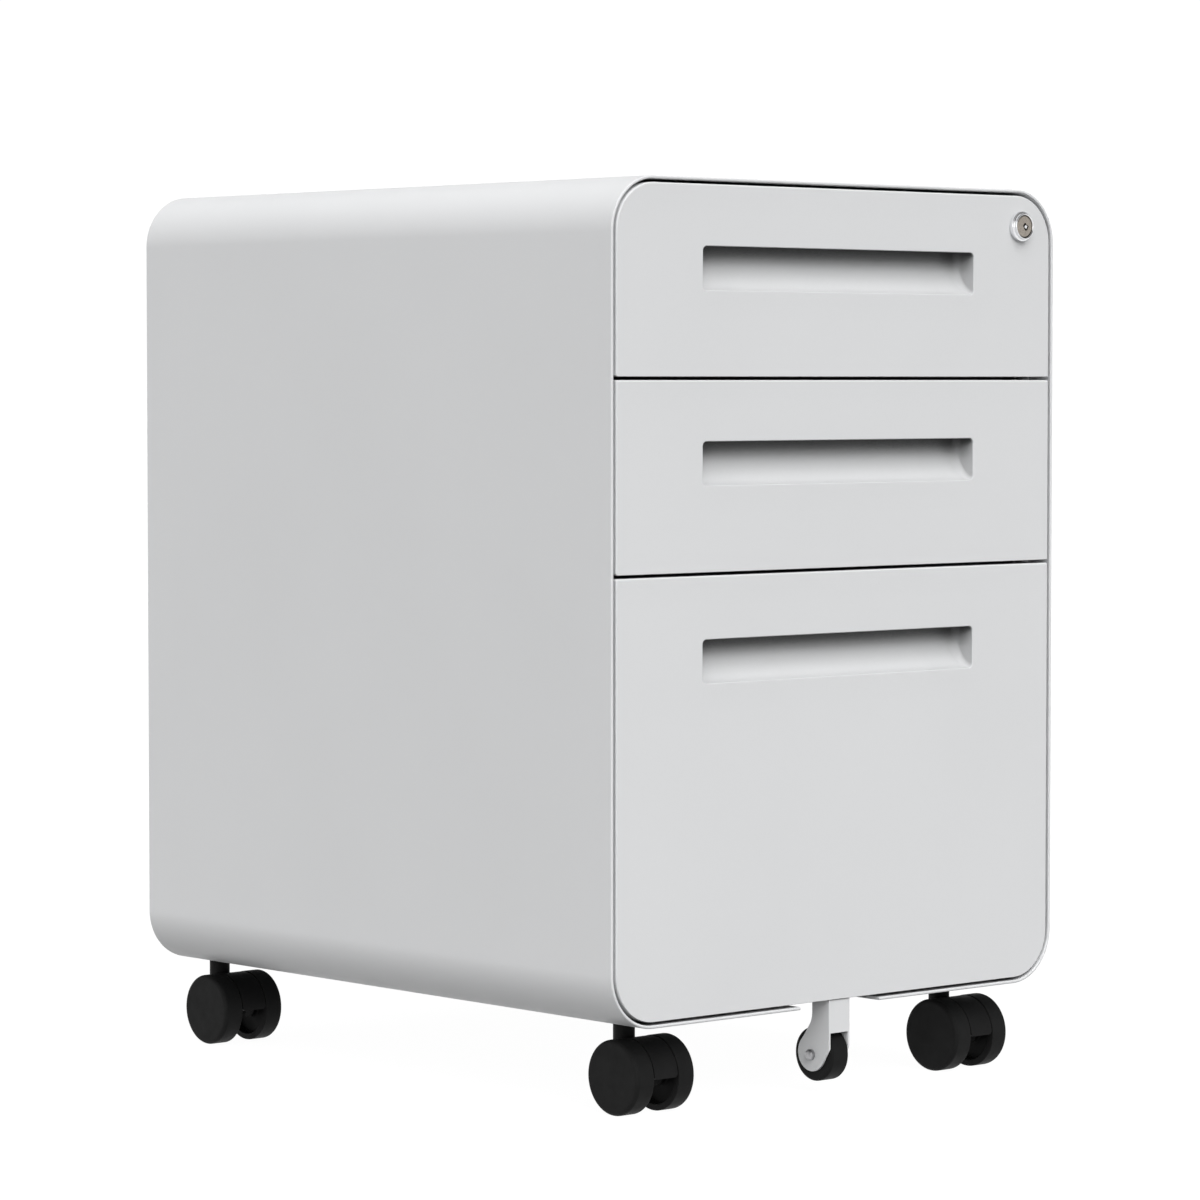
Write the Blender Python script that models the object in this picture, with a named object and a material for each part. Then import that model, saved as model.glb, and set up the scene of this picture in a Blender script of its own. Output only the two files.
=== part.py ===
"""Three-drawer mobile pedestal filing cabinet, sheet steel, on four twin-wheel casters.

The cabinet stands on z = 0 with its drawers opening towards -Y and +X to its right.
All driving dimensions are in millimetres and are turned into metres as the meshes are made.
"""

import math

import bmesh
import bpy
from mathutils import Matrix, Vector

for old in list(bpy.data.objects):
    bpy.data.objects.remove(old, do_unlink=True)

MM = 0.001
GAP = 0.3  # clearance between touching solids

# ---------------------------------------------------------------- driving dimensions
WIDTH = 390.0
DEPTH = 475.0
BODY_HEIGHT = 521.0
FLOOR_CLEARANCE = 57.5  # floor to the underside of the shell
CORNER_RADIUS = 34.5
SHEET = 1.0
RIM = 2.0  # folded front rim of the shell
RIM_DEPTH = 12.0
LOCK_PROUD = 5.2  # the lock stands this far out of the fronts

FRONT = -(DEPTH + LOCK_PROUD) / 2 + LOCK_PROUD  # y of the front plane
BACK = FRONT + DEPTH
HALF = WIDTH / 2
BASE = FLOOR_CLEARANCE  # z of the shell's underside
TOP = BASE + BODY_HEIGHT

# drawer fronts
REVEAL = 2.0  # gap between the rim and the fronts, and between two fronts
FRONT_HALF = HALF - RIM - REVEAL
FRONT_DEPTH = 18.0
FRONT_SPLITS = (122.2, 242.6)  # lower edges of the two upper fronts, below the top
PULL_HALF = 119.5
PULL_HEIGHT = 27.0
PULL_DEPTH = 14.0
LIP = 1.9
UNDERCUT = 5.0
PULL_DROP = (42.0, 162.0, 284.0)  # upper edge of each finger pull, below the top

# drawer boxes
BOX_HALF = 172.5
BOX_START = FRONT + FRONT_DEPTH + GAP
BOX_LENGTH = 400.0

# slides
SLIDE_START = FRONT + 36.0
SLIDE_LENGTH = 380.0
SLIDE_HALF_HEIGHT = 18.0
PANEL_X = 186.0  # inner face of the panels that carry the slides

# lock
LOCK_X = 162.5
LOCK_Z = TOP - 24.0
CAM_RADIUS = 6.0
BAR_LIFT = 2 * CAM_RADIUS * math.sin(math.radians(45))

# casters
WHEEL_RADIUS = 23.7
CASTER_HALF = 24.2
TRAIL = 15.9
HOOD_HALF = 9.8
NECK_RADIUS = 6.9
STUD_RADIUS = 4.0
FRONT_CASTER = (140.4, FRONT + 49.4)
REAR_CASTER = (143.0, BACK - 10.5)

# anti-tip wheel under the bottom drawer
TIP_RADIUS = 17.3
TIP_HALF = 7.4
TIP_Y = FRONT + 16.7
TIP_Z = BASE - 32.3
EAR_HALF = 9.2
NOTCH_HALF = 35.0
NOTCH_DEPTH = 60.0

DRAWERS = {
    # name: front z low, front z high, box z low, box z high, slide centre, catch z, pull top
    "top": (TOP - FRONT_SPLITS[0], TOP - RIM - REVEAL, TOP - 114, TOP - 40, TOP - 82, TOP - 58, TOP - PULL_DROP[0]),
    "middle": (TOP - FRONT_SPLITS[1], TOP - FRONT_SPLITS[0] - REVEAL, TOP - 234, TOP - 150, TOP - 196, TOP - 168, TOP - PULL_DROP[1]),
    "bottom": (BASE + RIM + REVEAL, TOP - FRONT_SPLITS[1] - REVEAL, BASE + 27, TOP - 256, TOP - 370, TOP - 290, TOP - PULL_DROP[2]),
}


# ---------------------------------------------------------------- materials
def material(name, rgb, roughness, metallic=0.0):
    mat = bpy.data.materials.new(name)
    mat.use_nodes = True
    shader = mat.node_tree.nodes["Principled BSDF"]
    shader.inputs["Base Color"].default_value = (*rgb, 1.0)
    shader.inputs["Roughness"].default_value = roughness
    shader.inputs["Metallic"].default_value = metallic
    return mat


PAINT = material("grey_paint", (0.68, 0.69, 0.70), 0.45)
INNER = material("inner_paint", (0.62, 0.63, 0.64), 0.5)
ZINC = material("zinc_steel", (0.60, 0.61, 0.62), 0.35, 1.0)
CHROME = material("chrome", (0.80, 0.80, 0.82), 0.08, 1.0)
NICKEL = material("nickel", (0.50, 0.46, 0.41), 0.28, 1.0)
NYLON = material("black_nylon", (0.016, 0.016, 0.017), 0.45)


# ---------------------------------------------------------------- shapes
def rounded(a0, a1, b0, b1, radii, n):
    """Outline of a rectangle, anticlockwise; radii run bottom left, bottom right, top right, top left."""
    corners = ((a0, b0, 1, 1, 180), (a1, b0, -1, 1, 270), (a1, b1, -1, -1, 0), (a0, b1, 1, -1, 90))
    points = []
    for (a, b, sa, sb, start), r in zip(corners, radii):
        for k in range(n + 1):
            t = math.radians(start + 90 * k / n)
            points.append((a + sa * r + r * math.cos(t), b + sb * r + r * math.sin(t)))
    return points


def arc(cy, cz, r, start, end, n):
    return [
        (cy + r * math.cos(math.radians(start + (end - start) * k / n)), cz + r * math.sin(math.radians(start + (end - start) * k / n)))
        for k in range(n + 1)
    ]


def at_x(outline, x):
    return [(x, a, b) for a, b in outline]


def at_y(outline, y):
    return [(a, y, b) for a, b in outline]


def at_z(outline, z):
    return [(a, b, z) for a, b in outline]


def make(name, bm, mat, smooth):
    bmesh.ops.recalc_face_normals(bm, faces=bm.faces)
    if bm.calc_volume(signed=True) < 0:
        bmesh.ops.reverse_faces(bm, faces=bm.faces)
    mesh = bpy.data.meshes.new(name)
    bm.to_mesh(mesh)
    bm.free()
    mesh.materials.append(mat)
    if smooth:
        mesh.shade_smooth()
        mesh.set_sharp_from_angle(angle=math.radians(32))
    obj = bpy.data.objects.new(name, mesh)
    bpy.context.scene.collection.objects.link(obj)
    return obj


def loft(name, loops, mat, closed=False, smooth=True):
    """A solid through equal loops of points, capped at both ends, or closed on itself."""
    bm = bmesh.new()
    rings = [[bm.verts.new(Vector(p) * MM) for p in loop] for loop in loops]
    pairs = list(zip(rings, rings[1:]))
    if closed:
        pairs.append((rings[-1], rings[0]))
    for a, b in pairs:
        for i in range(len(a)):
            j = (i + 1) % len(a)
            bm.faces.new((a[i], a[j], b[j], b[i]))
    if not closed:
        bm.faces.new(rings[0])
        bm.faces.new(rings[-1])
    return make(name, bm, mat, smooth)


def prism(name, outline, axis, low, high, mat, smooth=False):
    lay = {"x": at_x, "y": at_y, "z": at_z}[axis]
    return loft(name, [lay(outline, low), lay(outline, high)], mat, smooth=smooth)


def block(name, x0, x1, y0, y1, z0, z1, mat=PAINT):
    return prism(name, [(x0, y0), (x1, y0), (x1, y1), (x0, y1)], "z", z0, z1, mat)


def turned(name, profile, centre, axis, n, mat, closed=False, true_flats=False):
    """A profile of (radius, distance along the axis) turned round a line through centre."""
    grow = 1 / math.cos(math.pi / n) if true_flats else 1.0
    loops = []
    for r, h in profile:
        ring = []
        for k in range(n):
            t = 2 * math.pi * (k + 0.5) / n
            u, v = r * grow * math.cos(t), r * grow * math.sin(t)
            point = {"x": (h, u, v), "y": (u, h, v), "z": (u, v, h)}[axis]
            ring.append(tuple(c + p for c, p in zip(centre, point)))
        loops.append(ring)
    return loft(name, loops, mat, closed=closed)


def rod(name, centre, axis, r, low, high, n, mat=PAINT):
    return turned(name, [(r, low), (r, high)], centre, axis, n, mat)


def combine(obj, operation, tool):
    mod = obj.modifiers.new(f"{operation.lower()}_{tool.name}", "BOOLEAN")
    mod.operation = operation
    mod.solver = "EXACT"
    mod.object = tool
    tool.hide_render = True
    tool.display_type = "WIRE"
    return obj


def cut(obj, tool):
    return combine(obj, "DIFFERENCE", tool)


def join(obj, tool):
    return combine(obj, "UNION", tool)


def pivot(name, x, y, z, parent=None):
    """An empty that stands on a joint's axis."""
    empty = bpy.data.objects.new(name, None)
    empty.empty_display_size = 0.02
    bpy.context.scene.collection.objects.link(empty)
    empty["at"] = (x, y, z)
    if parent:
        px, py, pz = parent["at"]
        empty.parent = parent
        empty.location = ((x - px) * MM, (y - py) * MM, (z - pz) * MM)
    else:
        empty.location = (x * MM, y * MM, z * MM)
    return empty


def carry(empty, *objects):
    """Parents objects to a pivot, with their origins on it."""
    at = Vector(empty["at"]) * MM
    for obj in objects:
        obj.data.transform(Matrix.Translation(-at))
        obj.parent = empty


# ---------------------------------------------------------------- shell and inner frame
def shell_outline(inset, n=10):
    r = CORNER_RADIUS - inset
    return rounded(-HALF + inset, HALF - inset, BASE + inset, TOP - inset, (r, r, r, r), n)


shell = loft(
    "outer_shell",
    [
        at_y(shell_outline(0.5), FRONT),
        at_y(shell_outline(0.0), FRONT + 0.6),
        at_y(shell_outline(0.0), BACK - 0.4),
        at_y(shell_outline(0.3), BACK),
        at_y(shell_outline(SHEET), BACK),
        at_y(shell_outline(SHEET), FRONT + RIM_DEPTH),
        at_y(shell_outline(RIM), FRONT + RIM_DEPTH),
        at_y(shell_outline(RIM), FRONT + 0.4),
        at_y(shell_outline(RIM - 0.4), FRONT),
    ],
    PAINT,
    closed=True,
)
cut(shell, block("notch_cutter", -NOTCH_HALF, NOTCH_HALF, FRONT - 5, FRONT + NOTCH_DEPTH, BASE - 5, BASE + 6))

CASTERS = {
    "fl": (-FRONT_CASTER[0], FRONT_CASTER[1]),
    "fr": (FRONT_CASTER[0], FRONT_CASTER[1]),
    "rl": (-REAR_CASTER[0], REAR_CASTER[1]),
    "rr": (REAR_CASTER[0], REAR_CASTER[1]),
}
for tag, (cx, cy) in CASTERS.items():
    cut(shell, rod(f"stud_hole_{tag}", (cx, cy, 0), "z", STUD_RADIUS + GAP, BASE - 6, BASE + 6, 12))

PANEL_GAP = SHEET + GAP
back_panel = loft(
    "back_panel",
    [
        at_y(shell_outline(PANEL_GAP + 0.8), BACK - 4.0),
        at_y(shell_outline(PANEL_GAP + 0.8), BACK - 16.0),
        at_y(shell_outline(PANEL_GAP), BACK - 16.0),
        at_y(shell_outline(PANEL_GAP), BACK - 3.0),
    ],
    INNER,
)
for side in (-1, 1):
    x = side * REAR_CASTER[0]
    cut(back_panel, block(f"relief_{'left' if side < 0 else 'right'}", x - 10, x + 10, BACK - 22, BACK - 4.6, BASE - 4, BASE + 10))


def slide_panel(name, side):
    y0, y1 = FRONT + 20, BACK - 17
    flange = HALF - SHEET - GAP
    outline = [
        (PANEL_X, y0), (flange, y0), (flange, y0 + 1), (PANEL_X + 1, y0 + 1),
        (PANEL_X + 1, y1 - 1), (flange, y1 - 1), (flange, y1), (PANEL_X, y1),
    ]
    return prism(name, [(side * x, y) for x, y in outline], "z", BASE + 36, TOP - 36, INNER)


slide_panel("left_slide_panel", -1)
slide_panel("right_slide_panel", 1)

CHANNEL_HALF = 157.0
CHANNEL_TOP = BASE + 15.5
y0, y1, low = FRONT + 31, FRONT + 70, BASE + SHEET + GAP
front_channel = prism(
    "front_caster_channel",
    [(y0, low), (y0 + 1.5, low), (y0 + 1.5, CHANNEL_TOP - 1.5), (y1 - 1.5, CHANNEL_TOP - 1.5), (y1 - 1.5, low), (y1, low), (y1, CHANNEL_TOP), (y0, CHANNEL_TOP)],
    "x", -CHANNEL_HALF, CHANNEL_HALF, INNER,
)
y0, y1 = BACK - 48, BACK - 4.4
rear_channel = prism(
    "rear_caster_channel",
    [(y0, low), (y0 + 1.5, low), (y0 + 1.5, CHANNEL_TOP - 1.5), (y1, CHANNEL_TOP - 1.5), (y1, CHANNEL_TOP), (y0, CHANNEL_TOP)],
    "x", -CHANNEL_HALF, CHANNEL_HALF, INNER,
)
for channel, at in ((front_channel, FRONT_CASTER), (rear_channel, REAR_CASTER)):
    for side in (-1, 1):
        cut(channel, rod(f"{channel.name}_hole_{'l' if side < 0 else 'r'}", (side * at[0], at[1], 0), "z", STUD_RADIUS + GAP, BASE + 8, BASE + 22, 12))


# ---------------------------------------------------------------- slides
def slide_member(name, side, web_x, tip_x, centre_z, half, thick, y0, y1):
    """A C-shaped rail: its web stands at web_x and its two flanges reach to tip_x."""
    t = math.copysign(thick, tip_x - web_x)
    outline = [
        (web_x, centre_z - half), (tip_x, centre_z - half), (tip_x, centre_z - half + thick), (web_x + t, centre_z - half + thick),
        (web_x + t, centre_z + half - thick), (tip_x, centre_z + half - thick), (tip_x, centre_z + half), (web_x, centre_z + half),
    ]
    return prism(name, [(side * x, z) for x, z in outline], "y", y0, y1, ZINC)


for drawer, (_, _, _, _, zc, _, _) in DRAWERS.items():
    for word, side in (("left", -1), ("right", 1)):
        slide_member(f"{drawer}_{word}_outer_slide", side, PANEL_X - GAP, 175.2, zc, SLIDE_HALF_HEIGHT, 1.2, SLIDE_START, SLIDE_START + SLIDE_LENGTH)


# ---------------------------------------------------------------- drawers
def pull_loops(top, grow):
    """Loops of the scooped finger pull from its mouth inwards; grow moves every wall outwards.

    Behind a short lip the hollow runs up above the mouth, where the fingers hook in."""
    height, depth = PULL_HEIGHT, PULL_DEPTH
    back_height = 7.0

    def loop(d, above):
        t = math.asin(d / depth) / (math.pi / 2)
        rise = (height - back_height) * (1 - math.cos(t * math.pi / 2))
        half = PULL_HALF - 2.5 * t * t + grow
        low, high = top - height + rise - grow, top + above + grow
        r = min(3.0, (high - low) / 2 - 0.2)
        return FRONT + d + grow, rounded(-half, half, low, high, (r, r, r, r), 2)

    depths = [depth * math.sin(k * math.pi / 10) for k in range(6)]
    if grow:
        loops = [loop(d, UNDERCUT) for d in depths]
        start = FRONT + 0.5
    else:
        loops = [loop(0.6, 0.0), loop(LIP, 0.0), loop(LIP + 0.5, UNDERCUT)]
        loops += [loop(d, UNDERCUT) for d in depths[1:]]
        start = FRONT - 4
    return [at_y(loops[0][1], start)] + [at_y(o, y) for y, o in loops]


pivots = {}
for drawer, (z0, z1, bz0, bz1, zc, catch, pull) in DRAWERS.items():
    big = CORNER_RADIUS - RIM - REVEAL
    top_r = big if drawer == "top" else 1.2
    low_r = big if drawer == "bottom" else 1.2

    def face(inset, n=7):
        return rounded(
            -FRONT_HALF + inset, FRONT_HALF - inset, z0 + inset, z1 - inset,
            tuple(max(r - inset, 0.2) for r in (low_r, low_r, top_r, top_r)), n,
        )

    front = loft(
        f"{drawer}_drawer_front",
        [
            at_y(face(1.15), FRONT),
            at_y(face(0.35), FRONT + 0.35),
            at_y(face(0.0), FRONT + 1.15),
            at_y(face(0.0), FRONT + FRONT_DEPTH),
            at_y(face(SHEET), FRONT + FRONT_DEPTH),
            at_y(face(SHEET), FRONT + SHEET),
        ],
        PAINT,
    )
    join(front, loft(f"{drawer}_pull_wall", pull_loops(pull, 0.9), PAINT))
    cut(front, loft(f"{drawer}_pull_cutter", pull_loops(pull, 0.0), PAINT))
    liner = loft(
        f"{drawer}_drawer_liner",
        [at_y(face(SHEET + GAP), FRONT + 16.4), at_y(face(SHEET + GAP), FRONT + 17.4)],
        INNER,
    )

    y_end = BOX_START + BOX_LENGTH

    def plan(inset, r=3.0):
        rr = max(r - inset, 0.6)
        return rounded(-BOX_HALF + inset, BOX_HALF - inset, BOX_START + inset, y_end - inset, (rr,) * 4, 3)

    box = loft(
        f"{drawer}_drawer_box",
        [
            at_z(plan(0.0), bz0), at_z(plan(0.0), bz1), at_z(plan(2.2), bz1),
            at_z(plan(2.2), bz1 - 8), at_z(plan(1.0), bz1 - 8), at_z(plan(1.0), bz0 + 1.0),
        ],
        INNER,
    )
    join(box, block(f"{drawer}_catch", BOX_HALF - 0.6, 180.0, FRONT + 30, FRONT + 31.5, catch, catch + 8, INNER))

    if drawer == "top":
        for piece in (front, liner):
            cut(piece, rod(f"{piece.name}_lock_hole", (LOCK_X, 0, LOCK_Z), "y", 9.0 + GAP, FRONT - 6, FRONT + 30, 16))

    rails = []
    for word, side in (("left", -1), ("right", 1)):
        rails.append(slide_member(f"{drawer}_{word}_inner_slide", side, BOX_HALF + GAP, 181.6, zc, 13.6, 1.2, SLIDE_START, SLIDE_START + SLIDE_LENGTH))

    pivots[drawer] = pivot(f"{drawer}_drawer_axis", 0, FRONT, (z0 + z1) / 2)
    carry(pivots[drawer], front, liner, box, *rails)

# three-member slides on the file drawer
zc = DRAWERS["bottom"][4]
middle_pivot = pivot("bottom_middle_slide_axis", 0, SLIDE_START, zc)
for word, side in (("left", -1), ("right", 1)):
    member = slide_member(f"bottom_{word}_middle_slide", side, 183.6, 174.6, zc, 16.2, 1.2, SLIDE_START, SLIDE_START + SLIDE_LENGTH)
    carry(middle_pivot, member)

# rails that hanging files run on
_, _, bz0, bz1, _, _, _ = DRAWERS["bottom"]
ya, yb = BOX_START, BOX_START + BOX_LENGTH
for word, side in (("left", -1), ("right", 1)):
    outline = [
        (ya + 2.6, bz1 - 13), (yb - 2.6, bz1 - 13), (yb - 2.6, bz1 + GAP), (yb - 0.2, bz1 + GAP), (yb - 0.2, bz1 + 2.2),
        (ya + 0.2, bz1 + 2.2), (ya + 0.2, bz1 + GAP), (ya + 2.6, bz1 + GAP),
    ]
    x = side * 155.0
    carry(pivots["bottom"], prism(f"file_rail_{word}", outline, "x", x - 1, x + 1, ZINC))

# ---------------------------------------------------------------- lock
lock_at = (LOCK_X, 0, LOCK_Z)
F = FRONT
housing = turned(
    "lock_housing",
    [
        (9.7, F - GAP), (9.7, F - 2.5), (9.2, F - 3.1), (8.7, F - 3.2), (8.5, F - 4.6), (8.0, F - LOCK_PROUD), (7.6, F - LOCK_PROUD),
        (7.2, F - 4.8), (7.2, F + 24.0), (9.0, F + 24.0), (9.0, F - GAP),
    ],
    lock_at, "y", 20, CHROME, closed=True,
)
core = turned("lock_core", [(6.6, F - 4.6), (7.0, F - 4.3), (7.0, F + 25.0)], lock_at, "y", 20, NICKEL)
cut(core, block("keyway_cutter", LOCK_X - 0.9, LOCK_X + 0.9, F - 8, F + 7, LOCK_Z - 3.4, LOCK_Z + 3.4))
cam = rod("lock_cam", lock_at, "y", 9.0, F + 25.3, F + 27.3, 16, ZINC)
pin_x = LOCK_X + CAM_RADIUS * math.cos(math.radians(45))
pin_z = LOCK_Z - CAM_RADIUS * math.sin(math.radians(45))
join(cam, rod("cam_pin", (pin_x, 0, pin_z), "y", 2.0, F + 26.0, F + 33.0, 10, ZINC))
# a hexagon with a round bore
nut = rod("lock_nut", lock_at, "y", 13.0, F + 17.8, F + 20.8, 6, ZINC)
cut(nut, rod("nut_bore", lock_at, "y", 9.0 + GAP, F + 12, F + 26, 20))

lock_pivot = pivot("lock_core_axis", LOCK_X, FRONT, LOCK_Z, pivots["top"])
carry(pivots["top"], housing, nut)
carry(lock_pivot, core, cam)

bar_low = DRAWERS["bottom"][5] - 16
bar = block("lock_bar", PANEL_X - 2.4, PANEL_X - 0.4, F + 24, F + 34, bar_low, TOP - 26, ZINC)
join(bar, block("bar_head", pin_x - 5.6, PANEL_X - 1.0, F + 29, F + 31, pin_z - 5.5, pin_z + 4.5, ZINC))
cut(bar, block("bar_slot", pin_x - 2.8, pin_x + 5.2, F + 22, F + 36, pin_z - 2.5, pin_z + 2.5))
for drawer in DRAWERS:
    catch = DRAWERS[drawer][5]
    join(bar, block(f"{drawer}_finger", 176.0, PANEL_X - 1.4, F + 26, F + 28, catch - 9.5, catch - 1.5, ZINC))
carry(pivot("lock_bar_axis", PANEL_X - 1.4, F + 29, TOP - 150), bar)

# ---------------------------------------------------------------- anti-tip wheel
lobe = (FRONT + 17.1, BASE - 31.3)
ear = [(FRONT + 1.0, BASE + 3.7), (FRONT + 1.0, BASE - 27.5)]
ear += arc(lobe[0], lobe[1], 11.9, 210, 395, 12)
ear += [(FRONT + 22.5, BASE - 19.1), (FRONT + 16.2, BASE - 9.6), (FRONT + 16.2, BASE + 3.7)]
bracket = prism("anti_tip_bracket", ear, "x", -EAR_HALF, EAR_HALF, PAINT)
inner_ear = EAR_HALF - 1.5
cut(bracket, block("bracket_bay", -inner_ear, inner_ear, FRONT + 2.5, FRONT + 40, BASE - 60, BASE + 2.2))
cut(bracket, block("bracket_mouth", -inner_ear, inner_ear, FRONT - 5, FRONT + 6, BASE - 60, BASE - 17.5))
tip_at = (0, TIP_Y, TIP_Z)
cut(bracket, rod("bracket_bore", tip_at, "x", 2.8, -15, 15, 12))
tip_wheel = turned(
    "anti_tip_wheel",
    [(2.8, -TIP_HALF), (TIP_RADIUS - 1.2, -TIP_HALF), (TIP_RADIUS, -TIP_HALF + 1.2), (TIP_RADIUS, TIP_HALF - 1.2), (TIP_RADIUS - 1.2, TIP_HALF), (2.8, TIP_HALF)],
    tip_at, "x", 24, NYLON, closed=True,
)
tip_axle = turned(
    "anti_tip_axle",
    [(2.2, -12.5), (3.8, -11.4), (4.0, -9.5), (2.5, -9.5), (2.5, 9.5), (4.0, 9.5), (3.8, 11.4), (2.2, 12.5)],
    tip_at, "x", 12, PAINT,
)
carry(pivots["bottom"], bracket, tip_axle)
carry(pivot("anti_tip_wheel_axis", 0, TIP_Y, TIP_Z, pivots["bottom"]), tip_wheel)


# ---------------------------------------------------------------- casters
def caster(tag, x, y):
    wy, wz = y - TRAIL, WHEEL_RADIUS
    stem = turned(
        f"caster_{tag}_stem",
        [(STUD_RADIUS - 0.8, 33.0), (STUD_RADIUS, 34.0), (STUD_RADIUS, BASE + 23.0), (STUD_RADIUS - 0.8, BASE + 24.0)],
        (x, y, 0), "z", 12, ZINC,
    )
    outer, inner = WHEEL_RADIUS - 0.2, WHEEL_RADIUS - 3.6
    shroud = arc(wy, wz, outer, 180, 8, 14) + arc(wy, wz, inner, 8, 180, 12)
    hood = prism(f"caster_{tag}_hood", shroud, "x", x - HOOD_HALF, x + HOOD_HALF, NYLON, smooth=True)
    web = arc(wy, wz, outer - 1.5, 8, 172, 12) + arc(wy, wz, 7.5, 180, 360, 8)
    join(hood, prism(f"caster_{tag}_web", web, "x", x - 5.2, x + 5.2, NYLON))
    join(hood, rod(f"caster_{tag}_neck", (x, y, 0), "z", NECK_RADIUS, 27.0, BASE - 0.6, 16, NYLON))
    cut(hood, rod(f"caster_{tag}_socket", (x, y, 0), "z", STUD_RADIUS + GAP, 31.0, BASE + 6, 12))
    cut(hood, rod(f"caster_{tag}_bore", (x, wy, wz), "x", 3.3, -20, 20, 12))
    axle = rod(f"caster_{tag}_axle", (x, wy, wz), "x", 3.0, -20.5, 20.5, 12, ZINC)
    swivel = pivot(f"caster_{tag}_swivel_axis", x, y, BASE)
    carry(swivel, hood, axle)
    spin = pivot(f"caster_{tag}_wheel_axis", x, wy, wz, swivel)
    for word, side in (("left", -1), ("right", 1)):
        a, b = HOOD_HALF + 0.5, CASTER_HALF
        R = WHEEL_RADIUS
        profile = [
            (3.3, 21.2), (3.3, a + 1.0), (8.0, a + 1.0), (8.0, a + 5.0), (19.5, a + 5.0), (19.5, a),
            (R, a), (R, b - 2.4), (R - 2.6, b),
        ]
        wheel = turned(
            f"caster_{tag}_wheel_{word}", [(r, side * h) for r, h in profile], (x, wy, wz), "x", 20, NYLON, true_flats=True,
        )
        carry(spin, wheel)
    return stem


for tag, (cx, cy) in CASTERS.items():
    caster(tag, cx, cy)
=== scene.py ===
"""Visual model of the three-drawer mobile pedestal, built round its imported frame."""

import math

import bmesh
import bpy
from mathutils import Matrix, Vector


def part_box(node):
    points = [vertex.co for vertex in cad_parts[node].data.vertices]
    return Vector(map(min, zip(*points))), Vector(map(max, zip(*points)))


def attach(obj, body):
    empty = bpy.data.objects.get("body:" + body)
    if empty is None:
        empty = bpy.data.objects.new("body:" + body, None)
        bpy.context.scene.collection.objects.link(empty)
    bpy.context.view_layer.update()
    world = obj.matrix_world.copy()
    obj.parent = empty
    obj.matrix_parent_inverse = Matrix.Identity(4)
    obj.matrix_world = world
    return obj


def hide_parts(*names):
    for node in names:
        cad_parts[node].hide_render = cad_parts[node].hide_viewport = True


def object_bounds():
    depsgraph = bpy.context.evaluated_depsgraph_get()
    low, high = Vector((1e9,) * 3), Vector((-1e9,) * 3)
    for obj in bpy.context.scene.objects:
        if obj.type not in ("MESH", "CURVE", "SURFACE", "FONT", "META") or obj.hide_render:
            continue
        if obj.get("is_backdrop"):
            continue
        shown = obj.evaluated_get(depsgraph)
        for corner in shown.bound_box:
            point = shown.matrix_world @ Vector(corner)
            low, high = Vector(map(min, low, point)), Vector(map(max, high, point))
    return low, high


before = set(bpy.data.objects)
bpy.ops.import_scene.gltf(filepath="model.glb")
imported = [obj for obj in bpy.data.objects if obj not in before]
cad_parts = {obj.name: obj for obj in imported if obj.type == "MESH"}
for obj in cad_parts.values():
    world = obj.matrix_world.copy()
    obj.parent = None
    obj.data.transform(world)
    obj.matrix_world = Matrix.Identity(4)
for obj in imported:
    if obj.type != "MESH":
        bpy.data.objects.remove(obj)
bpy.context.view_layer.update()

MM = 0.001
GAP = 0.3


def box(node):
    low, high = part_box(node)
    return low / MM, high / MM


# ---------------------------------------------------------------- sizes, from the frame (mm)
shell_low, shell_high = box("outer_shell")
HALF = shell_high.x
BASE, TOP = shell_low.z, shell_high.z
FRONT, BACK = shell_low.y, shell_high.y
CORNER = 34.5
SHEET = 1.0
RIM = 2.0
RIM_DEPTH = 12.0
PANEL_GAP = SHEET + GAP
F = FRONT


# ---------------------------------------------------------------- outlines
def rounded(a0, a1, b0, b1, radii, n):
    """Outline of a rectangle, anticlockwise; radii run bottom left, bottom right, top right, top left."""
    corners = ((a0, b0, 1, 1, 180), (a1, b0, -1, 1, 270), (a1, b1, -1, -1, 0), (a0, b1, 1, -1, 90))
    points = []
    for (a, b, sa, sb, start), r in zip(corners, radii):
        for k in range(n + 1):
            t = math.radians(start + 90 * k / n)
            points.append((a + sa * r + r * math.cos(t), b + sb * r + r * math.sin(t)))
    return points


def arc(cy, cz, r, start, end, n):
    out = []
    for k in range(n + 1):
        t = math.radians(start + (end - start) * k / n)
        out.append((cy + r * math.cos(t), cz + r * math.sin(t)))
    return out


def soften(points, radii, n=4):
    """A closed outline with its corners rounded; radii is one number or one per point."""
    out = []
    m = len(points)
    for i in range(m):
        r = radii[i] if isinstance(radii, (list, tuple)) else radii
        a, b, c = Vector(points[i - 1]), Vector(points[i]), Vector(points[(i + 1) % m])
        u, v = (a - b), (c - b)
        lu, lv = u.length, v.length
        u, v = u / lu, v / lv
        angle = math.acos(max(-1.0, min(1.0, u.dot(v))))
        if r <= 0 or angle > math.pi - 0.02:
            out.append((b.x, b.y))
            continue
        d = min(r / math.tan(angle / 2), 0.49 * lu, 0.49 * lv)
        r = d * math.tan(angle / 2)
        centre = b + (u + v).normalized() * (r / math.sin(angle / 2))
        s, e = b + u * d - centre, b + v * d - centre
        t0, t1 = math.atan2(s.y, s.x), math.atan2(e.y, e.x)
        turn = (t1 - t0 + math.pi) % (2 * math.pi) - math.pi
        for k in range(n + 1):
            t = t0 + turn * k / n
            out.append((centre.x + r * math.cos(t), centre.y + r * math.sin(t)))
    return out


def at_x(outline, x):
    return [(x, a, b) for a, b in outline]


def at_y(outline, y):
    return [(a, y, b) for a, b in outline]


def at_z(outline, z):
    return [(a, b, z) for a, b in outline]


# ---------------------------------------------------------------- meshes
def ring(bm, points):
    return [bm.verts.new(Vector(p) * MM) for p in points]


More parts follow.
